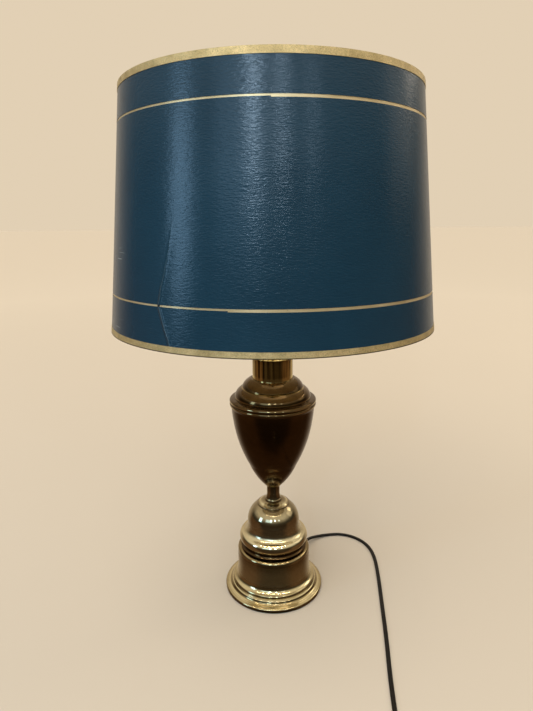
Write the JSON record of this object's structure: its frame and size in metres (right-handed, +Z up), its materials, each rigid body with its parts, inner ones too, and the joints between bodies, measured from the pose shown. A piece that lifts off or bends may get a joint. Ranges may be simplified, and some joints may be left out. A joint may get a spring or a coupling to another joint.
{
  "type": "table lamp",
  "caption": "Brass urn table lamp with a stepped round base, harp, turn-knob socket, bulb, finial and a slightly tapered hardback drum shade in dark teal with gold lines.",
  "frame": {"origin": "middle of the underside of the felt, on the lamp's axis", "axes": "+Z up along the lamp's axis; the switch knob points along -Y; the cord leaves the foot at the back, 60 degrees from +X towards +Y"},
  "size_m": [0.4073, 0.5521, 0.69],
  "materials": {
    "polished_brass": "aged polished brass, spun and turned",
    "bright_brass": "bright brass",
    "cast_iron": "rough casting",
    "zinc_steel": "zinc plated",
    "nickel": "nickel plated",
    "green_felt": "wool felt",
    "phenolic": "moulded phenolic",
    "knob_brown": "moulded, glossy",
    "fibre_sleeve": "pressed paper fibre",
    "bulb_white": "soft white coated glass",
    "black_glass": "vitreous insulator",
    "teal_paper": "glossy coated paper",
    "gold_foil": "gold foil paper",
    "gold_tape": "metallic gold edging tape",
    "white_liner": "white styrene",
    "cord_brown": "brown cord jacket"
  },
  "bodies": {
    "lamp": {"felt_pad": "green_felt", "foot_shell": "polished_brass", "base_weight": "cast_iron", "bottom_washer": "zinc_steel", "bottom_nut": "zinc_steel", "threaded_rod": "zinc_steel", "spacer_ring": "polished_brass", "dome_shell": "polished_brass", "shoulder_ring": "polished_brass", "stem": "polished_brass", "urn_body": "polished_brass", "urn_rim": "polished_brass", "urn_cover": "polished_brass", "neck_tube": "bright_brass", "neck_cap": "polished_brass", "check_ring": "polished_brass", "harp_saddle": "bright_brass", "saddle_nut": "zinc_steel", "socket_cap": "bright_brass", "socket_set_screw": "nickel", "socket_shell": "bright_brass", "socket_liner": "fibre_sleeve", "socket_interior": "phenolic", "terminal_screws": "bright_brass", "screw_shell": "bright_brass", "centre_contact": "bright_brass", "cord_bushing": "cord_brown", "inner_lead": "cord_brown", "lamp_cord": "cord_brown", "cord_coil": "cord_brown", "coil_tie": "cord_brown", "cord_tail": "cord_brown", "plug_body": "cord_brown", "plug_blades": "nickel"},
    "switch": {"switch_shaft": "zinc_steel", "switch_knob": "knob_brown"},
    "bulb_tip": {"bulb_contact": "nickel"},
    "bulb": {"bulb_insulator": "black_glass", "bulb_cap": "nickel", "bulb_glass": "bulb_white"},
    "harp": {"harp_wire": "bright_brass", "harp_feet": "bright_brass", "harp_stud": "bright_brass"},
    "ferrule_left": {"ferrule_left": "bright_brass"},
    "ferrule_right": {"ferrule_right": "bright_brass"},
    "shade": {"shade_liner": "white_liner", "gold_underlay": "gold_foil", "band_top": "teal_paper", "band_middle": "teal_paper", "band_bottom": "teal_paper", "top_ring": "zinc_steel", "bottom_ring": "zinc_steel", "top_tape": "gold_tape", "bottom_tape": "gold_tape", "spider": "bright_brass"},
    "finial_bush": {"finial_bush": "bright_brass"},
    "finial": {"finial": "polished_brass"}
  },
  "joints": [
    {"name": "switch_turn", "type": "hinge", "parent": "lamp", "child": "switch", "pos_m": [0, -0.03, 0.381], "axis": [0, -1, 0], "continuous": true},
    {"name": "bulb_lift", "type": "slide", "parent": "lamp", "child": "bulb_tip", "axis": [0, 0, 1], "range_m": [0, 0.0145]},
    {"name": "bulb_turn", "type": "hinge", "parent": "bulb_tip", "child": "bulb", "pos_m": [0, 0, 0.4], "axis": [0, 0, 1], "range_deg": [0, 1440]},
    {"name": "harp_lift", "type": "slide", "parent": "lamp", "child": "harp", "axis": [0, 0, 1], "range_m": [0, 0.02]},
    {"name": "ferrule_left_slide", "type": "slide", "parent": "harp", "child": "ferrule_left", "axis": [0, 0, 1], "range_m": [0, 0.014]},
    {"name": "ferrule_right_slide", "type": "slide", "parent": "harp", "child": "ferrule_right", "axis": [0, 0, 1], "range_m": [0, 0.014]},
    {"name": "shade_swivel", "type": "hinge", "parent": "harp", "child": "shade", "pos_m": [0, 0, 0.6553], "axis": [0, 0, 1], "continuous": true},
    {"name": "finial_lift", "type": "slide", "parent": "harp", "child": "finial_bush", "axis": [0, 0, 1], "range_m": [0, 0.0094]},
    {"name": "finial_turn", "type": "hinge", "parent": "finial_bush", "child": "finial", "pos_m": [0, 0, 0.66], "axis": [0, 0, 1], "range_deg": [0, 3600]}
  ],
  "couplings": [
    {"joint": "bulb_turn", "follows": "bulb_lift", "rad_per_m": 1731.6},
    {"joint": "finial_turn", "follows": "finial_lift", "rad_per_m": 6679}
  ]
}
